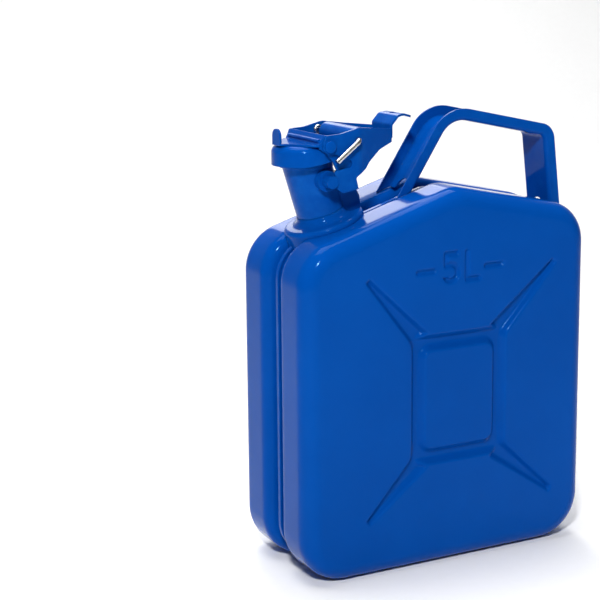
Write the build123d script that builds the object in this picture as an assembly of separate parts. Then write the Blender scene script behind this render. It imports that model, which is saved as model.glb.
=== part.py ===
from build123d import *

import math
import os

# Safety gas can: a pressed two-shell tank with a seam groove, a channel handle and a
# lever-locked pouring cap.  Sizes are in millimetres.  The origin is under the middle of the
# can, +Z is up, the spout leans toward -X and the handle rises toward +X.  The left face is at -Y.

# --- Tank -------------------------------------------------------------------------------------
BODY_WIDTH = 232.0            # along X
BODY_DEPTH = 100.0            # along Y
SHEET = 1.0                   # wall of the pressed shells
SIDE_TOP_FRONT = 232.2        # height where the sloping top would meet the spout-side wall
SIDE_TOP_REAR = 247.1         # the same for the wall under the back of the handle
PEAK = (5.9, 270.2)           # highest point of the top, before rounding
BOTTOM_RADIUS = 34.0
TOP_FRONT_RADIUS = 33.0
TOP_REAR_RADIUS = 30.0
PEAK_RADIUS = 25.0
FACE_EDGE_RADIUS = 12.3       # round from the broad faces into the walls
GROOVE_DEPTH = 9.0            # seam groove that runs round the walls
GROOVE_HALF = 9.5             # half the width of the groove floor
SHOULDER_RADIUS = 8.5         # round at both lips of the groove
FLANGE_HEIGHT = 3.6           # seam flange standing in the groove
FLANGE_THICK = 1.0
WELD_HALF = 1.7               # half the width of the bead on the flange
WELD_HEIGHT = 1.5

# --- Stiffening pattern pressed into each broad face --------------------------------------------
PATTERN_X = 4.3
PATTERN_Z = 121.3
PATTERN_DEPTH = 2.6
FRAME_HALF = (41.0, 47.0)     # outside of the square channel
PANEL_HALF = (28.4, 34.4)     # raised panel inside it
PATTERN_RADIUS = 6.0
PANEL_RADIUS = 5.0
ARM_START = 9.0               # how far inside the frame corner each arm begins
ARM_TIP = (75.6, 87.5)        # tip of each arm, from the middle of the pattern
ARM_ROOT_HALF = 11.0
ARM_TIP_HALF = 1.4
PATTERN_TAPER = 35.0          # degrees, slope of the channel walls
DASH_Z = 213.0
DASH_HALF = (8.0, 1.9)
DASH_CENTRES = (-21.0, 34.0)
DASH_ROUND = 1.8
DASH_DEPTH = 0.8

# --- Spout neck -----------------------------------------------------------------------------------
NECK_FOOT = (-74.2, 0.0, 245.2)
NECK_LEAN = 17.3              # degrees from upright, toward -X
NECK_RADIUS = 17.0
NECK_WALL = 1.5
NECK_CUT_Z = 289.0            # the tube is cut level here
COLLAR_RADIUS = 28.5
COLLAR_HEIGHT = 3.6
COLLAR_ROUND = 3.0
FLARE_HEIGHT = 10.0           # where the collar has faired into the tube
FLARE_RADIUS = 5.5
RIM_X = -87.8
RIM_RADIUS = 18.8
RIM_BORE = 15.0
RIM_LOW = 285.4
RIM_TOP = 293.0
BREATHER_RADIUS = 3.5         # air tube along the rear inside wall of the neck
BREATHER_LENGTH = 46.0
BREATHER_MIDDLE = 11.0
BREATHER_SHIFT = 11.95

# --- Closure pivots ---------------------------------------------------------------------------
STUD = (-82.6, 277.5)         # x, z of the fixed studs the lever hooks on
STUD_RADIUS = 4.4
STUD_END = 29.5
STUD_BOSS_RADIUS = 7.2
STUD_BOSS_END = 22.0
HINGE = (-66.5, 276.5)        # x, z of the cap hinge
HINGE_RADIUS = 2.0
HINGE_IN = 10.0
HINGE_OUT = 25.9
BRACKET_HALF = 12.0
BRACKET_WALL = 2.0
PIVOT = (-84.0, 301.5)        # x, z of the lever bolts
PIVOT_RADIUS = 2.4
PIVOT_HEAD_RADIUS = 4.1
PIVOT_HEAD_END = 30.4
WASHER_RADIUS = 5.0
RUN_GAP = 0.06                # radial play of each turning pin

# --- Cap --------------------------------------------------------------------------------------
CAP_X = -87.7
CAP_RADIUS = 24.0
CAP_WALL = 1.2
CAP_LOW = 287.4
CAP_TOP = 301.5
CAP_ROUND = 5.4
GASKET_LOW = 293.1
GASKET_TOP = 296.8
GASKET_RADIUS = 22.2
PLATE_RADIUS = 21.0
RETAINER_RADIUS = 10.0
RETAINER_THICK = 1.5
RIVET_RADIUS = 2.5
RIVET_HEAD_RADIUS = 4.6
RIVET_HEAD_THICK = 1.2
STRAP_THICK = 1.5
EAR_IN = 24.4
EAR_OUT = 25.9
TONGUE_X = -110.6
TONGUE_TOP = 312.8
TONGUE_HALF = 5.8

# --- Lever ------------------------------------------------------------------------------------
CHEEK_IN = 26.3
CHEEK_OUT = 27.9
LEVER_BEND = -60.9            # the cheeks draw together behind here
LEVER_END = -26.8
TAIL_HALF = 14.2              # half the width of the lever's tail
TAB_HOLE_X = -17.8
TAB_HOLE_Z = 318.0
TAB_HOLE_RADIUS = 3.3
BARREL = (-60.5, 306.5)       # x, z of the rolled cross tube
BARREL_RADIUS = 6.8
BARREL_WALL = 1.2
BARREL_END = 19.5             # far end, short of the pin's eye
NOTCH_RADIUS = 4.75

# --- Safety pin -------------------------------------------------------------------------------
PIN = (-62.5, 305.0)          # x, z of its straight leg, inside the cross tube
PIN_RADIUS = 2.0
PIN_OUT = 31.2
PIN_ARM_END = (-80.3, 291.3)
PIN_FAR = 29.6
PIN_EYE = (-66.0, 307.4)
PIN_EYE_Y = 22.8
PIN_EYE_RADIUS = 2.6
PIN_EYE_WIRE = 1.2

# --- Handle -----------------------------------------------------------------------------------
HANDLE_FRONT_FOOT = (-34.2, 244.8)
HANDLE_FRONT_TOP = (17.1, 323.9)
HANDLE_REAR_TOP = (108.4, 304.2)
HANDLE_REAR_FOOT = (116.6, 231.9)
HANDLE_FRONT_BEND = 28.0
HANDLE_REAR_BEND = 13.0
HANDLE_HALF = 15.5
HANDLE_FLANGE = 8.5
HANDLE_SHEET = 1.5
HANDLE_EDGE = 3.0
BEND_EDGE_LOW = 255.0         # edges centred above this are rounded on the hand side
FOOT_ARCHES = ((-20.0, 261.0), (110.0, 239.0))    # x, z of the arched cut in each foot
FOOT_ARCH_HALF = 7.5
FOOT_ARCH_RISE = 7.0


def xz_face(points, radii):
    """A closed outline drawn as (x, z), with a radius at each corner."""
    return make_face(FilletPolyline(*points, radius=radii, close=True))


def prism(face, y_low, y_high):
    """Extrude a face drawn as (x, z) from y_low to y_high."""
    return extrude(Plane.XZ.offset(-y_high) * face, amount=y_high - y_low, dir=(0, -1, 0))


def rod(centre, radius, y_low, y_high):
    """A round bar along Y at an (x, z) centre."""
    low, high = min(y_low, y_high), max(y_low, y_high)
    return Pos(centre[0], (low + high) / 2, centre[1]) * Rot(90, 0, 0) * Cylinder(radius, high - low)


def disc(x, radius, z_low, z_high):
    """An upright round disc on the middle plane."""
    return Pos(x, 0, (z_low + z_high) / 2) * Cylinder(radius, z_high - z_low)


def slab(x_low, x_high, y_half, z_low, z_high):
    """A plain block centred on the middle plane."""
    centre = Pos((x_low + x_high) / 2, 0, (z_low + z_high) / 2)
    return centre * Box(x_high - x_low, 2 * y_half, z_high - z_low)


def both(shape):
    """The shape and its mirror image across the middle plane."""
    return shape + mirror(shape, about=Plane.XZ)


def body_outline():
    half = BODY_WIDTH / 2
    points = [(-half, 0), (half, 0), (half, SIDE_TOP_REAR), PEAK, (-half, SIDE_TOP_FRONT)]
    radii = [BOTTOM_RADIUS, BOTTOM_RADIUS, TOP_REAR_RADIUS, PEAK_RADIUS, TOP_FRONT_RADIUS]
    return xz_face(points, radii)


OUTLINE = body_outline()


def pan(inset):
    """One solid half of the tank, inset by a wall: a rounded pan with a narrower neck to the seam."""
    face = offset(OUTLINE, -inset) if inset else OUTLINE
    groove = offset(OUTLINE, -GROOVE_DEPTH - inset)
    box = prism(face, -BODY_DEPTH / 2 + inset, -GROOVE_HALF - inset)
    box = fillet(box.faces().sort_by(Axis.Y)[-1].edges(), SHOULDER_RADIUS - inset)
    box = fillet(box.faces().sort_by(Axis.Y)[0].edges(), FACE_EDGE_RADIUS - inset)
    return box + prism(groove, -GROOVE_HALF - inset - 1, 0)


def arm_outline(side_x, side_z, grow):
    """One tapering arm of the pattern, from inside the frame out to its tip."""
    start = (side_x * (FRAME_HALF[0] - ARM_START), side_z * (FRAME_HALF[1] - ARM_START))
    tip = (side_x * ARM_TIP[0], side_z * ARM_TIP[1])
    length = math.dist(start, tip)
    across = ((start[1] - tip[1]) / length, (tip[0] - start[0]) / length)
    wide = ARM_ROOT_HALF + grow
    thin = ARM_TIP_HALF + grow
    corners = []
    for (px, pz), half in ((start, wide), (tip, thin)):
        corners.append((px + across[0] * half, pz + across[1] * half))
    for (px, pz), half in ((tip, thin), (start, wide)):
        corners.append((px - across[0] * half, pz - across[1] * half))
    return make_face(Polyline(*corners, close=True))


def pattern_face(grow):
    """The pressed channel: a square frame with a raised panel inside and four arms."""
    half_x, half_z = FRAME_HALF[0] + grow, FRAME_HALF[1] + grow
    frame = RectangleRounded(2 * half_x, 2 * half_z, PATTERN_RADIUS + grow)
    for side_x in (-1, 1):
        for side_z in (-1, 1):
            frame = frame + arm_outline(side_x, side_z, grow)
    panel_x, panel_z = PANEL_HALF[0] - grow, PANEL_HALF[1] - grow
    panel = RectangleRounded(2 * panel_x, 2 * panel_z, PANEL_RADIUS)
    return Pos(PATTERN_X, PATTERN_Z) * (frame - panel)


def shell():
    """The pressed half of the tank on the -Y side."""
    outer = pan(0)
    cavity = pan(SHEET)
    face_y = -BODY_DEPTH / 2
    cut = Plane.XZ.offset(-face_y) * pattern_face(0)
    press = extrude(cut, amount=-PATTERN_DEPTH, taper=PATTERN_TAPER)
    backing = prism(pattern_face(SHEET), face_y, face_y + PATTERN_DEPTH + SHEET)
    for dash_x in DASH_CENTRES:
        dash = RectangleRounded(2 * DASH_HALF[0], 2 * DASH_HALF[1], DASH_ROUND)
        mark = Pos(dash_x, DASH_Z) * dash
        outer = outer - prism(mark, face_y - 1, face_y + DASH_DEPTH)
        backing = backing + prism(mark, face_y, face_y + DASH_DEPTH + SHEET)
    half = (outer - press) - (cavity - backing)
    rim_face = offset(OUTLINE, -GROOVE_DEPTH + FLANGE_HEIGHT) - offset(OUTLINE, -GROOVE_DEPTH - 0.5)
    return half + prism(rim_face, -FLANGE_THICK, 0)


LEAN_SIN = math.sin(math.radians(NECK_LEAN))
LEAN_COS = math.cos(math.radians(NECK_LEAN))
NECK_PLANE = Plane(origin=NECK_FOOT, x_dir=(LEAN_COS, 0, LEAN_SIN), z_dir=(-LEAN_SIN, 0, LEAN_COS))


def neck_rod(radius, low, high):
    """A round bar on the leaning axis of the neck."""
    return NECK_PLANE.offset((low + high) / 2) * Cylinder(radius, high - low)


def handle_outline(inset):
    """The arched side view of the handle, shifted inward by a distance."""
    path = [HANDLE_FRONT_FOOT, HANDLE_FRONT_TOP, HANDLE_REAR_TOP, HANDLE_REAR_FOOT]
    lines = []
    for (x0, z0), (x1, z1) in zip(path, path[1:]):
        length = math.dist((x0, z0), (x1, z1))
        ux, uz = (x1 - x0) / length, (z1 - z0) / length
        lines.append((x0 + uz * inset, z0 - ux * inset, ux, uz))

    def meet(first, second):
        ax, az, aux, auz = first
        bx, bz, bux, buz = second
        along = ((bx - ax) * buz - (bz - az) * bux) / (aux * buz - auz * bux)
        return (ax + aux * along, az + auz * along)

    last = lines[-1]
    rear = math.dist(path[-2], path[-1])
    points = [lines[0][:2], meet(lines[0], lines[1]), meet(lines[1], last),
              (last[0] + last[2] * rear, last[1] + last[3] * rear)]
    radii = [0, HANDLE_FRONT_BEND - inset, HANDLE_REAR_BEND - inset, 0]
    return xz_face(points, radii)


parts = {}

# --- Tank -------------------------------------------------------------------------------------
solid_half = pan(0)
solid_body = both(solid_half)
left_shell = shell()
neck_hole = neck_rod(NECK_RADIUS, -14, 40)
collar_space = neck_rod(COLLAR_RADIUS, -16, 40)
handle_band = prism(handle_outline(0) - handle_outline(HANDLE_FLANGE), -HANDLE_HALF, HANDLE_HALF)
groove_ring = offset(OUTLINE, 3) - offset(OUTLINE, -GROOVE_DEPTH)
flange_space = prism(groove_ring, -GROOVE_HALF + 0.5, GROOVE_HALF - 0.5)
trim = neck_hole + (collar_space & flange_space)
parts["front_shell"] = left_shell - trim
parts["rear_shell"] = mirror(left_shell, about=Plane.XZ) - trim

bead_outer = offset(OUTLINE, -GROOVE_DEPTH + FLANGE_HEIGHT + WELD_HEIGHT / 2)
bead_inner = offset(OUTLINE, -GROOVE_DEPTH + FLANGE_HEIGHT - WELD_HEIGHT / 2)
bead = prism(bead_outer - bead_inner, -WELD_HALF, WELD_HALF)
bead = bead - parts["front_shell"] - parts["rear_shell"] - collar_space
parts["seam_weld"] = bead

# --- Neck -------------------------------------------------------------------------------------
below_cut = slab(-140, -20, 40, 200, NECK_CUT_Z)
neck_tube = (neck_rod(NECK_RADIUS, -13, 60) - neck_rod(NECK_RADIUS - NECK_WALL, -14, 61)) & below_cut
parts["neck_tube"] = neck_tube
flare_points = [(NECK_RADIUS - 2, -16), (COLLAR_RADIUS, -16), (COLLAR_RADIUS, COLLAR_HEIGHT),
                (NECK_RADIUS + 0.4, COLLAR_HEIGHT + 0.8), (NECK_RADIUS, FLARE_HEIGHT),
                (NECK_RADIUS - 2, FLARE_HEIGHT)]
flare = xz_face(flare_points, [0, 0, COLLAR_ROUND, FLARE_RADIUS, 0, 0])
collar = NECK_PLANE * revolve(Plane.XZ * flare, Axis.Z)
parts["neck_collar"] = collar - solid_body - neck_rod(NECK_RADIUS, -20, 20)

rim = disc(RIM_X, RIM_RADIUS, RIM_LOW, RIM_TOP)
rim = fillet(rim.edges().sort_by(Axis.Z)[-1], 1.4)
rim = fillet(rim.edges().sort_by(Axis.Z)[0], 1.0)
tube_core = neck_rod(NECK_RADIUS, 0, 60) & below_cut
parts["neck_rim"] = rim - tube_core - disc(RIM_X, RIM_BORE, NECK_CUT_Z - 1, RIM_TOP + 1)
breather_axis = NECK_PLANE.offset(BREATHER_MIDDLE) * Pos(BREATHER_SHIFT, 0, 0)
breather = breather_axis * Cylinder(BREATHER_RADIUS, BREATHER_LENGTH)
parts["breather_tube"] = breather - breather_axis * Cylinder(BREATHER_RADIUS - 0.8, BREATHER_LENGTH + 1)

# --- Fixed pivots on the neck -----------------------------------------------------------------
for side, name in ((-1, "left"), (1, "right")):
    boss = rod(STUD, STUD_BOSS_RADIUS, 0, side * STUD_BOSS_END) - neck_rod(NECK_RADIUS, -20, 60)
    stud = rod(STUD, STUD_RADIUS, side * STUD_BOSS_END, side * STUD_END)
    parts["trunnion_" + name] = boss + stud
    parts["hinge_pin_" + name] = rod(HINGE, HINGE_RADIUS, side * HINGE_IN, side * HINGE_OUT)

bracket_points = [(-82, 240), (-51, 240), (-52.5, 264), (-61.0, 280.6), (-82, 280.6)]
bracket = prism(xz_face(bracket_points, [0, 0, 6, 3, 0]), -BRACKET_HALF, BRACKET_HALF)
inner_points = [(-83, 239), (-53.2, 239), (-54.6, 263.4), (-62.6, 282), (-83, 282)]
bracket = bracket - prism(xz_face(inner_points, [0, 0, 4, 0, 0]), BRACKET_WALL - BRACKET_HALF,
                          BRACKET_HALF - BRACKET_WALL)
bracket = bracket - neck_rod(NECK_RADIUS, -40, 60) - collar - solid_body
bracket = bracket - slab(-130, -75, 20, 230, 290) - rod(HINGE, HINGE_RADIUS, -20, 20)
parts["hinge_bracket"] = bracket

# --- Handle -----------------------------------------------------------------------------------
handle_block = prism(handle_outline(0), -HANDLE_HALF, HANDLE_HALF)
handle_block = handle_block - prism(handle_outline(HANDLE_FLANGE), -HANDLE_HALF - 1, HANDLE_HALF + 1)
bend_edges = []
for y in (-HANDLE_HALF, HANDLE_HALF):
    hand_side = Plane.XZ.offset(-y) * handle_outline(HANDLE_FLANGE)
    for edge in handle_block.edges():
        if edge.center().Z > BEND_EDGE_LOW and hand_side.distance_to(edge.center()) < 0.1:
            bend_edges.append(edge)
handle_block = fillet(bend_edges, HANDLE_EDGE)
channel_half = HANDLE_HALF - HANDLE_SHEET
channel = prism(handle_outline(-2), -channel_half, channel_half)
channel = channel - prism(handle_outline(HANDLE_FLANGE - HANDLE_SHEET), -channel_half - 1, channel_half + 1)
handle = handle_block - channel - solid_body
groove_gap = prism(OUTLINE, -GROOVE_HALF - SHOULDER_RADIUS, GROOVE_HALF + SHOULDER_RADIUS)
handle = handle - groove_gap
for foot_x, foot_z in FOOT_ARCHES:
    arch = slab(foot_x - 16, foot_x + 16, FOOT_ARCH_HALF, foot_z - 20, foot_z + FOOT_ARCH_RISE - 4)
    crown = Pos(foot_x, 0, foot_z + FOOT_ARCH_RISE - 4) * Rot(0, 90, 0) * Cylinder(FOOT_ARCH_HALF, 32)
    handle = handle - arch - crown
parts["handle"] = handle

# --- Cap --------------------------------------------------------------------------------------
cap = disc(CAP_X, CAP_RADIUS, CAP_LOW, CAP_TOP)
cap = fillet(cap.edges().sort_by(Axis.Z)[-1], CAP_ROUND)
inside = disc(CAP_X, CAP_RADIUS - CAP_WALL, CAP_LOW - 1, CAP_TOP - STRAP_THICK)
inside = fillet(inside.edges().sort_by(Axis.Z)[-1], CAP_ROUND - CAP_WALL)
skirt_cut = Polyline((-100, CAP_LOW), (-60, 294.2), (-60, 280), (-100, 280), close=True)
cap = cap - inside - prism(make_face(skirt_cut), -30, 30)
rivet_hole = disc(CAP_X, RIVET_RADIUS, 285, CAP_TOP + STRAP_THICK)
parts["cap_shell"] = cap - rivet_hole
plate = disc(CAP_X, PLATE_RADIUS, GASKET_TOP, CAP_TOP - STRAP_THICK) & inside
retainer_low = GASKET_LOW - RETAINER_THICK
rivet_low = retainer_low - RIVET_HEAD_THICK
parts["gasket_plate"] = plate - rivet_hole
parts["cap_gasket"] = disc(CAP_X, GASKET_RADIUS, GASKET_LOW, GASKET_TOP) - rivet_hole
parts["gasket_retainer"] = disc(CAP_X, RETAINER_RADIUS, retainer_low, GASKET_LOW) - rivet_hole
rivet = disc(CAP_X, RIVET_RADIUS, rivet_low, CAP_TOP + STRAP_THICK)
parts["cap_rivet"] = rivet + disc(CAP_X, RIVET_HEAD_RADIUS, rivet_low, retainer_low)

strap_plan = [(TONGUE_X, -TONGUE_HALF), (-104, -TONGUE_HALF - 3), (-92, -EAR_OUT), (-74, -EAR_OUT),
              (-74, EAR_OUT), (-92, EAR_OUT), (-104, TONGUE_HALF + 3), (TONGUE_X, TONGUE_HALF)]
plan = make_face(FilletPolyline(*strap_plan, radius=[1, 6, 6, 1, 1, 6, 6, 1], close=True))
strap = extrude(Plane.XY.offset(CAP_TOP) * plan, amount=STRAP_THICK)
tongue_height = TONGUE_TOP - CAP_TOP
rounded = RectangleRounded(2 * TONGUE_HALF, tongue_height, TONGUE_HALF - 0.3)
tongue_face = Pos(0, CAP_TOP + tongue_height / 2) * rounded
tongue_face = tongue_face + Pos(0, CAP_TOP + 2.5) * Rectangle(2 * TONGUE_HALF, 5)
tongue = extrude(Plane.YZ.offset(TONGUE_X) * tongue_face, amount=STRAP_THICK)
ear_points = [(-91.2, 300.6), (-86.6, 309.4), (-78.5, 308.6), (-70.0, 300.0), (-62.7, 280.5),
              (-63.0, 272.8), (-70.2, 272.8), (-77.0, 283.5), (-80.5, 291.0), (-85.5, 296.8)]
ear_face = xz_face(ear_points, [1, 1.5, 5, 5, 3, 3.2, 2.5, 4, 4, 3])
ears = both(prism(ear_face, -EAR_OUT, -EAR_IN))
wall_points = [(-91.2, CAP_TOP + 0.2), (-86.6, 309.4), (-85.0, 308.8), (-89.3, CAP_TOP + 0.2)]
front_wall = prism(make_face(Polyline(*wall_points, close=True)), -EAR_IN, EAR_IN)
wall_bead = rod((-89.3, 305.3), 1.3, -EAR_IN + 2, EAR_IN - 2)
strap = strap + tongue + ears + front_wall + wall_bead - rivet_hole
strap = strap - rod(PIVOT, PIVOT_RADIUS, -40, 40) - rod(HINGE, HINGE_RADIUS + RUN_GAP, -40, 40)
parts["cap_strap"] = strap

for side, name in ((-1, "left"), (1, "right")):
    washer = rod(PIVOT, WASHER_RADIUS, side * (CHEEK_OUT + 0.1), side * (CHEEK_OUT + 0.7))
    bolt = rod(PIVOT, PIVOT_RADIUS, side * EAR_IN, side * PIVOT_HEAD_END)
    head = rod(PIVOT, PIVOT_HEAD_RADIUS, side * (CHEEK_OUT + 0.7), side * PIVOT_HEAD_END)
    outer_rim = head.faces().sort_by(Axis.Y)[-1 if side > 0 else 0].edges()
    bolt = bolt + fillet(outer_rim, 1.0)
    parts["lever_bolt_" + name] = bolt
    parts["bolt_washer_" + name] = washer - rod(PIVOT, PIVOT_RADIUS, -40, 40)

# --- Lever ------------------------------------------------------------------------------------
side_points = [(-89.6, 301.0), (-86.6, 309.2), (-76.0, 309.8), (-61.2, 313.4), (-46.3, 311.6),
               (LEVER_END + 0.2, 309.8), (LEVER_END + 0.2, 300.9), (-32.0, 299.3), (-41.1, 296.3),
               (-51.5, 288.9), (-54.8, 284.8), (-63.9, 279.4), (-61.8, 271.6), (-74.0, 269.4),
               (-78.5, 272.5), (-80.6, 284.6), (-67.4, 287.0), (-66.8, 291.2), (-84.5, 297.6)]
side_radii = [4.5, 2, 12, 14, 8, 0, 0, 2.5, 6, 10, 6, 2, 1, 2.5, 1, 2, 1.5, 2.5, 4]
side_view = prism(xz_face(side_points, side_radii), -CHEEK_OUT - 1, CHEEK_OUT + 1)
outer_plan = [(-95, -CHEEK_OUT), (LEVER_BEND, -CHEEK_OUT), (LEVER_END, -TAIL_HALF),
              (LEVER_END, TAIL_HALF), (LEVER_BEND, CHEEK_OUT), (-95, CHEEK_OUT)]
inner_plan = [(-96, -CHEEK_IN), (LEVER_BEND - 0.3, -CHEEK_IN), (LEVER_END - 1.6, 1.0 - TAIL_HALF),
              (LEVER_END - 1.6, TAIL_HALF - 1.0), (LEVER_BEND - 0.3, CHEEK_IN), (-96, CHEEK_IN)]
plan_outer = make_face(FilletPolyline(*outer_plan, radius=[0, 14, 5, 5, 14, 0], close=True))
plan_inner = make_face(FilletPolyline(*inner_plan, radius=[0, 12.4, 3.4, 3.4, 12.4, 0], close=True))
folded = extrude(Plane.XY.offset(260) * (plan_outer - plan_inner), amount=60, dir=(0, 0, 1)) & side_view
folded = folded - rod(STUD, NOTCH_RADIUS, -40, 40)
folded = folded - rod(PIVOT, PIVOT_RADIUS + RUN_GAP, -40, 40) - rod(PIN, PIN_RADIUS + RUN_GAP, -40, 40)
lever_solids = folded.solids().sort_by(SortBy.VOLUME)

tab_points = [(LEVER_END - 1.6, 303.0), (LEVER_END - 1.6, 312.4), (-22.6, 318.6), (-17.0, 319.4),
              (-8.2, 317.0), (-8.7, 315.5), (-17.1, 317.8), (-21.9, 317.0), (LEVER_END, 311.6),
              (LEVER_END, 303.0)]
tab_side = xz_face(tab_points, [0, 3.0, 5, 6, 0, 0, 4.4, 3.4, 1.4, 0])
tab = prism(tab_side, -TAIL_HALF, TAIL_HALF)
tab_half = TAIL_HALF - 1
tab_plan = [(-33, -tab_half), (-23, -tab_half), (-7.8, -9.5), (-7.8, 9.5), (-23, tab_half), (-33, tab_half)]
tab_mask = make_face(FilletPolyline(*tab_plan, radius=[0, 6, 7, 7, 6, 0], close=True))
tab = tab & extrude(Plane.XY.offset(300) * tab_mask, amount=20, dir=(0, 0, 1))
tab = tab - Pos(TAB_HOLE_X, 0, TAB_HOLE_Z) * Cylinder(TAB_HOLE_RADIUS, 12)
parts["lever"] = Part(lever_solids[-1].wrapped) + tab
barrel = rod(BARREL, BARREL_RADIUS, -CHEEK_IN, BARREL_END)
barrel = barrel - rod(BARREL, BARREL_RADIUS - BARREL_WALL, -CHEEK_IN - 1, CHEEK_IN + 1)
barrel_solids = (barrel - parts["lever"]).solids().sort_by(SortBy.VOLUME)
parts["lever_barrel"] = Part(barrel_solids[-1].wrapped)

# --- Safety pin -------------------------------------------------------------------------------
arm_end = (PIN_ARM_END[0], -PIN_OUT, PIN_ARM_END[1])
pin_path = FilletPolyline((PIN[0], PIN_FAR, PIN[1]), (PIN[0], -PIN_OUT, PIN[1]), arm_end, radius=3.0)
pin_start = Plane(origin=(PIN[0], PIN_FAR, PIN[1]), z_dir=(0, -1, 0))
pin = sweep(pin_start * Circle(PIN_RADIUS), path=pin_path)
eye = Pos(PIN_EYE[0], PIN_EYE_Y, PIN_EYE[1]) * Rot(90, 0, 0) * Torus(PIN_EYE_RADIUS, PIN_EYE_WIRE)
parts["safety_pin"] = pin + eye

os.makedirs("parts", exist_ok=True)
for node, shape in parts.items():
    export_step(shape, "parts/" + node + ".step")
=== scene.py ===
"""Safety gas can in blue enamel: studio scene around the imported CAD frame.

Lights, floor and camera are in metres.  The pressed shells are worked out in millimetres.
"""
import math

import bpy
import numpy as np
from mathutils import Matrix, Vector


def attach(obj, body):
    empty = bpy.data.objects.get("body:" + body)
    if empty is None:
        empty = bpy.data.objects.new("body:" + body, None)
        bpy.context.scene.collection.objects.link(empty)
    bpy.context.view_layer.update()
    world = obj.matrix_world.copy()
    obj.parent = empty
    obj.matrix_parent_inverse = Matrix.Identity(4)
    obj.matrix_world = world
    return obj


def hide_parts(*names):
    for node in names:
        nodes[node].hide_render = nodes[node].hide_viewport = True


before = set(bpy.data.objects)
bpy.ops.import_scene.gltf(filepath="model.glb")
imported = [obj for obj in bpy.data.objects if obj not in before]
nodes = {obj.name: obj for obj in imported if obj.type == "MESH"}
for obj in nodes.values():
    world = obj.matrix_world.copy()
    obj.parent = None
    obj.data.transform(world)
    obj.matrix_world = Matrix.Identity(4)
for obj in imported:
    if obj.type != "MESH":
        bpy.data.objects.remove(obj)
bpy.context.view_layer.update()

MM = 0.001


# --- Materials -----------------------------------------------------------------------------------
ENAMEL_LIGHT = (0.0003, 0.064, 0.345, 1.0)
ENAMEL_DEEP = (0.0002, 0.057, 0.315, 1.0)
ENAMEL_RUBBED = (0.006, 0.12, 0.48, 1.0)
ENAMEL_ROUGHNESS = (0.07, 0.12)
ENAMEL_SPECULAR = 0.09
ENAMEL_TINT = (0.25, 0.6, 1.0, 1.0)
CLOUD_SCALE = 9.0
CLOUD_RANGE = (0.35, 0.65)
SCUFF_SCALE = 60.0
SCUFF_RANGE = (0.45, 0.7)      # noise values over which the edge wear comes in
SMEAR_RANGE = (0.3, 0.75)      # noise values over which the gloss changes
EDGE_RANGE = (0.53, 0.60)      # pointiness over which an edge starts to wear
EDGE_WEAR = 0.35               # most that the rubbed colour shows
PEEL_SCALE = 900.0
PEEL_STRENGTH = 0.03
PEEL_HEIGHT = 0.2 * MM         # orange peel of the sprayed coat
FITTING_ROUNDING = 0.7 * MM    # edges of the painted CAD pieces are shaded this round
GRAIN_RANGE = (0.3, 0.7)
METAL_SHADE = 0.8
METAL_STRENGTH = 0.15
METAL_HEIGHT = 0.2 * MM
METAL_ROUNDING = 0.4 * MM
MATTE_SHADE = 0.96
MATTE_SPREAD = 0.05            # roughness either side of the given one
MATTE_HEIGHT = 0.3 * MM


def new_material(name):
    """An empty node material with its Principled shader."""
    material = bpy.data.materials.new(name)
    material.use_nodes = True
    tree = material.node_tree
    shader = tree.nodes["Principled BSDF"]
    return material, tree, shader


def noise(tree, scale, detail=3.0, roughness=0.5):
    """A noise texture over object coordinates, so it stays put when a body moves."""
    coords = tree.nodes.new("ShaderNodeTexCoord")
    texture = tree.nodes.new("ShaderNodeTexNoise")
    texture.inputs["Scale"].default_value = scale
    texture.inputs["Detail"].default_value = detail
    texture.inputs["Roughness"].default_value = roughness
    tree.links.new(coords.outputs["Object"], texture.inputs["Vector"])
    return texture


def ramp(tree, source, low, high, low_value, high_value):
    """Maps a grey value between two limits."""
    node = tree.nodes.new("ShaderNodeMapRange")
    node.inputs["From Min"].default_value = low
    node.inputs["From Max"].default_value = high
    node.inputs["To Min"].default_value = low_value
    node.inputs["To Max"].default_value = high_value
    tree.links.new(source, node.inputs["Value"])
    return node.outputs["Result"]


def bump(tree, shader, height, strength, distance, rounding=0.0):
    """Bump on the shader's normal, over softly rounded edges where asked."""
    node = tree.nodes.new("ShaderNodeBump")
    node.inputs["Strength"].default_value = strength
    node.inputs["Distance"].default_value = distance
    tree.links.new(height, node.inputs["Height"])
    if rounding:
        bevel = tree.nodes.new("ShaderNodeBevel")
        bevel.samples = 6
        bevel.inputs["Radius"].default_value = rounding
        tree.links.new(bevel.outputs["Normal"], node.inputs["Normal"])
    tree.links.new(node.outputs["Normal"], shader.inputs["Normal"])


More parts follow.
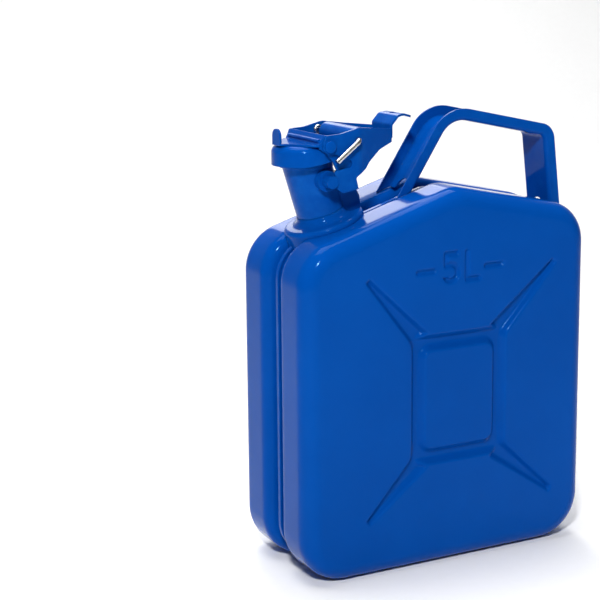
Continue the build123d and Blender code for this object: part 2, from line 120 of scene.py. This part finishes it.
def enamel(name, rounding=0.0):
    """Glossy blue sprayed enamel: orange peel, faintly cloudy colour, uneven gloss and thin edge wear."""
    material, tree, shader = new_material(name)
    cloud = noise(tree, CLOUD_SCALE, detail=4.0, roughness=0.6)
    speck = noise(tree, PEEL_SCALE, detail=2.0, roughness=0.5)
    colour = tree.nodes.new("ShaderNodeMix")
    colour.data_type = "RGBA"
    colour.inputs["A"].default_value = ENAMEL_DEEP
    colour.inputs["B"].default_value = ENAMEL_LIGHT
    tree.links.new(ramp(tree, cloud.outputs["Fac"], *CLOUD_RANGE, 0.0, 1.0), colour.inputs["Factor"])
    edge = tree.nodes.new("ShaderNodeNewGeometry")
    edge_light = ramp(tree, edge.outputs["Pointiness"], *EDGE_RANGE, 0.0, EDGE_WEAR)
    scuff = noise(tree, SCUFF_SCALE, detail=6.0, roughness=0.7)
    worn = tree.nodes.new("ShaderNodeMath")
    worn.operation = "MULTIPLY"
    tree.links.new(edge_light, worn.inputs[0])
    tree.links.new(ramp(tree, scuff.outputs["Fac"], *SCUFF_RANGE, 0.0, 1.0), worn.inputs[1])
    rubbed = tree.nodes.new("ShaderNodeMix")
    rubbed.data_type = "RGBA"
    rubbed.inputs["B"].default_value = ENAMEL_RUBBED
    tree.links.new(worn.outputs["Value"], rubbed.inputs["Factor"])
    tree.links.new(colour.outputs["Result"], rubbed.inputs["A"])
    tree.links.new(rubbed.outputs["Result"], shader.inputs["Base Color"])
    gloss = ramp(tree, scuff.outputs["Fac"], *SMEAR_RANGE, *ENAMEL_ROUGHNESS)
    tree.links.new(gloss, shader.inputs["Roughness"])
    shader.inputs["Specular IOR Level"].default_value = ENAMEL_SPECULAR
    shader.inputs["Specular Tint"].default_value = ENAMEL_TINT
    bump(tree, shader, speck.outputs["Fac"], PEEL_STRENGTH, PEEL_HEIGHT, rounding)
    return material


def metal(name, colour, low, high, grain):
    """Plated or bare metal with fine grain in its colour and gloss."""
    material, tree, shader = new_material(name)
    shader.inputs["Metallic"].default_value = 1.0
    fine = noise(tree, grain, detail=5.0, roughness=0.6)
    tint = tree.nodes.new("ShaderNodeMix")
    tint.data_type = "RGBA"
    tint.inputs["A"].default_value = colour
    tint.inputs["B"].default_value = tuple(c * METAL_SHADE for c in colour[:3]) + (1.0,)
    tree.links.new(ramp(tree, fine.outputs["Fac"], *GRAIN_RANGE, 0.0, 1.0), tint.inputs["Factor"])
    tree.links.new(tint.outputs["Result"], shader.inputs["Base Color"])
    tree.links.new(ramp(tree, fine.outputs["Fac"], *GRAIN_RANGE, low, high), shader.inputs["Roughness"])
    bump(tree, shader, fine.outputs["Fac"], METAL_STRENGTH, METAL_HEIGHT, METAL_ROUNDING)
    return material


def matte(name, colour, rough, scale, strength):
    """Rubber and the floor: matt, with a fine tooth."""
    material, tree, shader = new_material(name)
    grain = noise(tree, scale, detail=4.0, roughness=0.6)
    tint = tree.nodes.new("ShaderNodeMix")
    tint.data_type = "RGBA"
    tint.inputs["A"].default_value = colour
    tint.inputs["B"].default_value = tuple(c * MATTE_SHADE for c in colour[:3]) + (1.0,)
    tree.links.new(grain.outputs["Fac"], tint.inputs["Factor"])
    tree.links.new(tint.outputs["Result"], shader.inputs["Base Color"])
    gloss = ramp(tree, grain.outputs["Fac"], *GRAIN_RANGE, rough - MATTE_SPREAD, rough + MATTE_SPREAD)
    tree.links.new(gloss, shader.inputs["Roughness"])
    bump(tree, shader, grain.outputs["Fac"], strength, MATTE_HEIGHT)
    return material


paint = enamel("blue_enamel")
paint_fittings = enamel("blue_enamel_fittings", FITTING_ROUNDING)
zinc = metal("zinc_plate", (0.80, 0.79, 0.76, 1.0), low=0.16, high=0.30, grain=700.0)
dull_steel = metal("dull_steel", (0.55, 0.54, 0.52, 1.0), low=0.30, high=0.45, grain=500.0)
rubber = matte("black_rubber", (0.018, 0.018, 0.018, 1.0), rough=0.65, scale=1200.0, strength=0.3)
floor_white = matte("floor_white", (0.94, 0.94, 0.94, 1.0), rough=0.75, scale=120.0, strength=0.02)

FINISH = {"safety_pin": zinc, "hinge_pin_left": dull_steel, "hinge_pin_right": dull_steel,
          "breather_tube": dull_steel, "gasket_plate": dull_steel, "gasket_retainer": dull_steel,
          "cap_rivet": zinc, "cap_gasket": rubber}


def smooth_by_angle(mesh, degrees):
    """Smooth shading that keeps edges sharper than an angle."""
    mesh.shade_smooth()
    mesh.set_sharp_from_angle(angle=math.radians(degrees))


for name, node in nodes.items():
    node.data.materials.clear()
    node.data.materials.append(FINISH.get(name, paint_fittings))


# --- Tank shells with a softly pressed face, in millimetres -----------------------------------------
BODY_WIDTH = 232.0
BODY_DEPTH = 100.0
HALF_WIDTH = BODY_WIDTH / 2
CORNERS = [((-HALF_WIDTH, 0.0), 34.0), ((HALF_WIDTH, 0.0), 34.0), ((HALF_WIDTH, 247.1), 30.0),
           ((5.9, 270.2), 25.0), ((-HALF_WIDTH, 232.2), 33.0)]     # (x, z) and radius
EDGE_RADIUS = 12.3
SHOULDER = 8.5
GROOVE_DEPTH = 9.0
GROOVE_HALF = 9.5
FLANGE_INSET = 5.4
FLANGE_THICK = 1.0
FLANGE_ROOT = [(8.4, 1.0), (8.9, 1.5), (9.0, 2.2)]      # (inset, height) where the flange meets the groove
GROOVE_FLOOR_END = 8.8
ARC_STEPS = 26
EDGE_STEPS = 90
FACE_RINGS = 150
FLOOR_STEPS = 3
SHOULDER_STEPS = 12
SIDE_STEPS = 8
ROUND_STEPS = 16
SMOOTH_ANGLE = 50              # degrees
FACE_CENTRE = (4.0, 126.0)
SHEET = 0.9                    # wall thickness
NECK_HOLE = 16.0               # radius of the hole under the neck
NECK_SPAN = (-16, 30)          # how far the hole reaches along the neck, from its foot


def rounded_outline():
    """Arc centres, radii and angles of the tank's outline, anticlockwise from the lower left."""
    arcs = []
    count = len(CORNERS)
    for i, (corner, radius) in enumerate(CORNERS):
        here = Vector(corner)
        before = (here - Vector(CORNERS[i - 1][0])).normalized()
        after = (Vector(CORNERS[(i + 1) % count][0]) - here).normalized()
        turn = before.angle(after)
        reach = radius * math.tan(turn / 2)
        start = here - before * reach
        centre = start + Vector((-before.y, before.x)) * radius
        first = math.atan2(-before.x, before.y)
        arcs.append((centre, radius, first, first + turn))
    return arcs


ARCS = rounded_outline()


def outline(inset):
    """Points of the outline moved inward, always the same number of them."""
    points = []
    count = len(ARCS)
    for i, (centre, radius, first, last) in enumerate(ARCS):
        for k in range(ARC_STEPS + 1):
            angle = first + (last - first) * k / ARC_STEPS
            points.append((centre.x + (radius - inset) * math.cos(angle),
                           centre.y + (radius - inset) * math.sin(angle)))
        after_centre, after_radius, after_first, _ = ARCS[(i + 1) % count]
        end = (after_centre.x + (after_radius - inset) * math.cos(after_first),
               after_centre.y + (after_radius - inset) * math.sin(after_first))
        begin = points[-1]
        for k in range(1, EDGE_STEPS):
            t = k / EDGE_STEPS
            points.append((begin[0] + (end[0] - begin[0]) * t, begin[1] + (end[1] - begin[1]) * t))
    return np.array(points)


PATTERN_X = 6.3
PATTERN_Z = 122.2
PATTERN_DEPTH = 4.6
WALL_RUN = 5.0
FRAME_HALF = (39.9, 47.7)
PANEL_HALF = (27.2, 34.4)
ARM_START = (30.5, 42.5)
ARM_REACH = {"left": 74.0, "right": 80.5, "top": 90.0, "bottom": 82.5}
ARM_ROOT_HALF = 8.6
ARM_TIP_HALF = 2.8
TIP_RUN = 3.2                  # width of the channel wall at an arm's tip
TIP_FADE = 0.3                 # share of the depth lost by an arm's tip
FRAME_RADIUS = 7.0
PANEL_RADIUS = 5.0
JOIN_BLEND = 3.0               # rounding where the arms leave the frame
FAR = 1000.0
DASH_Z = 213.5
DASH_HALF = 6.5
DASH_CENTRES = (-21.0, 34.5)
MARK_CENTRE = 6.75
MARK_HALF = 2.4
MARK_DEPTH = 1.9
MARK_RUN = 1.9
BOWL = (-1.2, 211.2)           # round of the 5
BOWL_RADIUS = 5.6
# The round is open to the left of and above a corner this far left of and below its centre.
BOWL_GAP = (1.0, 3.2)
CAPACITY_STROKES = [((12.2, 224.5), (12.2, 205.5)), ((12.2, 205.5), (22.0, 205.5)),
                    ((3.8, 224.5), (-5.0, 224.5)), ((-5.0, 224.5), (-5.0, 216.5)),
                    ((-5.0, 216.5), (-1.0, 217.0))]


def box_distance(x, z, half_x, half_z, radius):
    """Signed distance to a rounded rectangle about the origin, negative inside."""
    dx = np.abs(x) - (half_x - radius)
    dz = np.abs(z) - (half_z - radius)
    outside = np.hypot(np.maximum(dx, 0), np.maximum(dz, 0))
    return outside + np.minimum(np.maximum(dx, dz), 0) - radius


def stroke_distance(x, z, start, end, half):
    """Signed distance to a round-ended stroke."""
    ax, az = end[0] - start[0], end[1] - start[1]
    along = np.clip(((x - start[0]) * ax + (z - start[1]) * az) / (ax * ax + az * az), 0, 1)
    return np.hypot(x - start[0] - ax * along, z - start[1] - az * along) - half


def soft_step(value):
    """Eases from 0 to 1."""
    t = np.clip(value, 0, 1)
    return t * t * (3 - 2 * t)


def blend_min(a, b, width):
    """The smaller of two distances, rounded where they meet."""
    h = np.clip(0.5 + 0.5 * (b - a) / width, 0, 1)
    return b * (1 - h) + a * h - width * h * (1 - h)


def pressed_depth(x, z, side):
    """Depth in millimetres of the pressing at points of a broad face; the mark reads right on both."""
    u, v = x - PATTERN_X, z - PATTERN_Z
    frame_d = box_distance(u, v, *FRAME_HALF, FRAME_RADIUS)
    au, av = np.abs(u), np.abs(v)
    ax = np.where(u > 0, ARM_REACH["right"], ARM_REACH["left"]) - ARM_START[0]
    az = np.where(v > 0, ARM_REACH["top"], ARM_REACH["bottom"]) - ARM_START[1]
    length = np.hypot(ax, az)
    along = ((au - ARM_START[0]) * ax + (av - ARM_START[1]) * az) / (length * length)
    across = np.abs((au - ARM_START[0]) * az - (av - ARM_START[1]) * ax) / length
    outward = np.clip(along, 0, 1)
    taper = ARM_ROOT_HALF + (ARM_TIP_HALF - ARM_ROOT_HALF) * outward
    ends = np.maximum(-along, along - 1) * length
    arms = np.maximum(across - taper, ends)
    hollow = blend_min(frame_d, arms, JOIN_BLEND)
    panel = box_distance(u, v, *PANEL_HALF, PANEL_RADIUS)
    hollow = np.maximum(hollow, -panel)
    run = WALL_RUN + (TIP_RUN - WALL_RUN) * outward
    depth = PATTERN_DEPTH * (1 - TIP_FADE * outward) * soft_step(-hollow / run)
    if side > 0:
        x = 2 * MARK_CENTRE - x
    marks = np.full_like(u, FAR)
    for dash_x in DASH_CENTRES:
        left, right = (dash_x - DASH_HALF, DASH_Z), (dash_x + DASH_HALF, DASH_Z)
        marks = np.minimum(marks, stroke_distance(x, z, left, right, MARK_HALF))
    for start, end in CAPACITY_STROKES:
        marks = np.minimum(marks, stroke_distance(x, z, start, end, MARK_HALF))
    bowl = np.abs(np.hypot(x - BOWL[0], z - BOWL[1]) - BOWL_RADIUS) - MARK_HALF
    bowl = np.where((x < BOWL[0] - BOWL_GAP[0]) & (z > BOWL[1] - BOWL_GAP[1]), FAR, bowl)
    marks = np.minimum(marks, bowl)
    return depth + MARK_DEPTH * soft_step(-marks / MARK_RUN)


def shell_profile():
    """(inset, height above the seam plane) from the seam flange round to the edge of the face."""
    rows = [(FLANGE_INSET, 0.0), (FLANGE_INSET, FLANGE_THICK)] + FLANGE_ROOT
    floor_start = FLANGE_ROOT[-1][1]
    floor_width = GROOVE_FLOOR_END - floor_start
    for k in range(1, FLOOR_STEPS + 1):
        rows.append((GROOVE_DEPTH, floor_start + floor_width * k / FLOOR_STEPS))
    side_start = GROOVE_HALF + SHOULDER
    for k in range(SHOULDER_STEPS + 1):
        angle = math.pi / 2 * k / SHOULDER_STEPS
        inset = SHOULDER - SHOULDER * math.sin(angle)
        rows.append((inset, side_start - SHOULDER * math.cos(angle)))
    side_end = BODY_DEPTH / 2 - EDGE_RADIUS
    for k in range(1, SIDE_STEPS):
        rows.append((0.0, side_start + (side_end - side_start) * k / SIDE_STEPS))
    for k in range(ROUND_STEPS + 1):
        angle = math.pi / 2 * k / ROUND_STEPS
        inset = EDGE_RADIUS - EDGE_RADIUS * math.cos(angle)
        rows.append((inset, side_end + EDGE_RADIUS * math.sin(angle)))
    return rows


NECK_FOOT = Vector((-74.2, 0.0, 245.2))
NECK_LEAN = math.radians(17.3)
NECK_AXIS = Vector((-math.sin(NECK_LEAN), 0.0, math.cos(NECK_LEAN)))


def build_shell(name, side):
    """One pressed half of the tank; side is -1 for the half at -Y and +1 for the half at +Y."""
    rings = []
    for inset, height in shell_profile():
        ring = outline(inset)
        rings.append(np.column_stack([ring[:, 0], np.full(len(ring), height), ring[:, 1]]))
    rim = outline(EDGE_RADIUS)
    centre = np.array(FACE_CENTRE)
    for k in range(1, FACE_RINGS):
        share = 1 - k / FACE_RINGS
        flat = centre + (rim - centre) * share
        height = BODY_DEPTH / 2 - pressed_depth(flat[:, 0], flat[:, 1], side)
        rings.append(np.column_stack([flat[:, 0], height, flat[:, 1]]))
    count = len(rim)
    points = np.vstack(rings + [np.array([[centre[0], BODY_DEPTH / 2, centre[1]]])])
    points[:, 1] *= side
    faces = []
    for r in range(len(rings) - 1):
        for c in range(count):
            d = (c + 1) % count
            faces.append((r * count + c, r * count + d, (r + 1) * count + d, (r + 1) * count + c))
    last = (len(rings) - 1) * count
    for c in range(count):
        faces.append((last + c, last + (c + 1) % count, len(points) - 1))
    kept = []
    axis = np.array(NECK_AXIS)
    foot = np.array(NECK_FOOT)
    for face in faces:
        middle = points[list(face)].mean(axis=0) - foot
        along = middle @ axis
        in_reach = NECK_SPAN[0] < along < NECK_SPAN[1]
        if in_reach and np.linalg.norm(middle - axis * along) < NECK_HOLE:
            continue
        kept.append(face if side < 0 else tuple(reversed(face)))
    mesh = bpy.data.meshes.new(name)
    mesh.from_pydata((points * MM).tolist(), [], kept)
    mesh.validate()
    mesh.update()
    shell = bpy.data.objects.new(name, mesh)
    bpy.context.scene.collection.objects.link(shell)
    mesh.materials.append(paint)
    smooth_by_angle(mesh, SMOOTH_ANGLE)
    thick = shell.modifiers.new("sheet", "SOLIDIFY")
    thick.thickness = SHEET * MM
    thick.offset = -1.0
    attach(shell, "tank")
    return shell


for cad_name, side in (("front_shell", -1), ("rear_shell", 1)):
    pressed = build_shell("tank_" + cad_name, side)
    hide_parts(cad_name)


# --- Studio ---------------------------------------------------------------------------------------
FLOOR_TURN = -27.7             # degrees, so that the sweep stands square to the main view
SWEEP_STEPS = 16


def studio_floor():
    """A pale floor that sweeps up behind the object."""
    half_width, front, back, bend, top = 5.0, -3.5, 2.2, 1.2, 3.5
    profile = [(front, 0.0), (back - bend, 0.0)]
    for k in range(1, SWEEP_STEPS + 1):
        angle = math.pi / 2 * k / SWEEP_STEPS
        profile.append((back - bend + bend * math.sin(angle), bend - bend * math.cos(angle)))
    profile.append((back, top))
    points = []
    faces = []
    for k, (y, z) in enumerate(profile):
        points += [(-half_width, y, z), (half_width, y, z)]
        if k:
            faces.append((2 * k - 2, 2 * k - 1, 2 * k + 1, 2 * k))
    mesh = bpy.data.meshes.new("studio_floor")
    mesh.from_pydata(points, [], faces)
    mesh.materials.append(floor_white)
    mesh.shade_smooth()
    floor = bpy.data.objects.new("studio_floor", mesh)
    floor.rotation_euler.z = math.radians(FLOOR_TURN)
    bpy.context.scene.collection.objects.link(floor)


def softbox(name, place, target, size, power):
    """A soft area light aimed at a point."""
    lamp = bpy.data.lights.new(name, "AREA")
    lamp.shape = "RECTANGLE"
    lamp.size, lamp.size_y = size
    lamp.energy = power
    holder = bpy.data.objects.new(name, lamp)
    holder.location = place
    holder.rotation_euler = (Vector(target) - Vector(place)).to_track_quat("-Z", "Y").to_euler()
    bpy.context.scene.collection.objects.link(holder)


studio_floor()
softbox("top", place=(-0.1, 0.3, 2.0), target=(0, 0, 0.1), size=(1.6, 1.0), power=35)
softbox("back", place=(0.55, 1.75, 1.5), target=(0, 0, 0.2), size=(0.75, 2.0), power=18)
softbox("front_fill", place=(-0.85, -1.15, 1.3), target=(0, 0, 0.15), size=(0.2, 0.2), power=26)

world = bpy.data.worlds.new("studio")
bpy.context.scene.world = world
world.use_nodes = True
world.node_tree.nodes["Background"].inputs["Color"].default_value = (1.0, 1.0, 1.0, 1.0)
world.node_tree.nodes["Background"].inputs["Strength"].default_value = 0.1

# --- Camera ---------------------------------------------------------------------------------------
CAMERA_PLACE = Vector((-0.5799, -0.9548, 0.4293))
CAMERA_YAW = math.radians(27.7555)
CAMERA_PITCH = math.radians(10.6571)
CAMERA_ROLL = math.radians(-0.4167)
CAMERA_LENS = 94.66            # millimetres
CAMERA_SENSOR = 36.0           # millimetres
CAMERA_SHIFT = (-1 / 30, -1 / 12)

camera_data = bpy.data.cameras.new("camera")
camera_data.lens = CAMERA_LENS
camera_data.sensor_width = CAMERA_SENSOR
camera_data.shift_x, camera_data.shift_y = CAMERA_SHIFT
camera = bpy.data.objects.new("camera", camera_data)
forward = Vector((math.sin(CAMERA_YAW) * math.cos(CAMERA_PITCH),
                  math.cos(CAMERA_YAW) * math.cos(CAMERA_PITCH), -math.sin(CAMERA_PITCH)))
level = Vector((math.cos(CAMERA_YAW), -math.sin(CAMERA_YAW), 0.0))
upward = level.cross(forward)
right = level * math.cos(CAMERA_ROLL) + upward * math.sin(CAMERA_ROLL)
upward = upward * math.cos(CAMERA_ROLL) - level * math.sin(CAMERA_ROLL)
pose = Matrix((right, upward, -forward)).transposed().to_4x4()
pose.translation = CAMERA_PLACE
camera.matrix_world = pose
bpy.context.scene.collection.objects.link(camera)
bpy.context.scene.camera = camera

bpy.context.scene.view_settings.view_transform = "Standard"
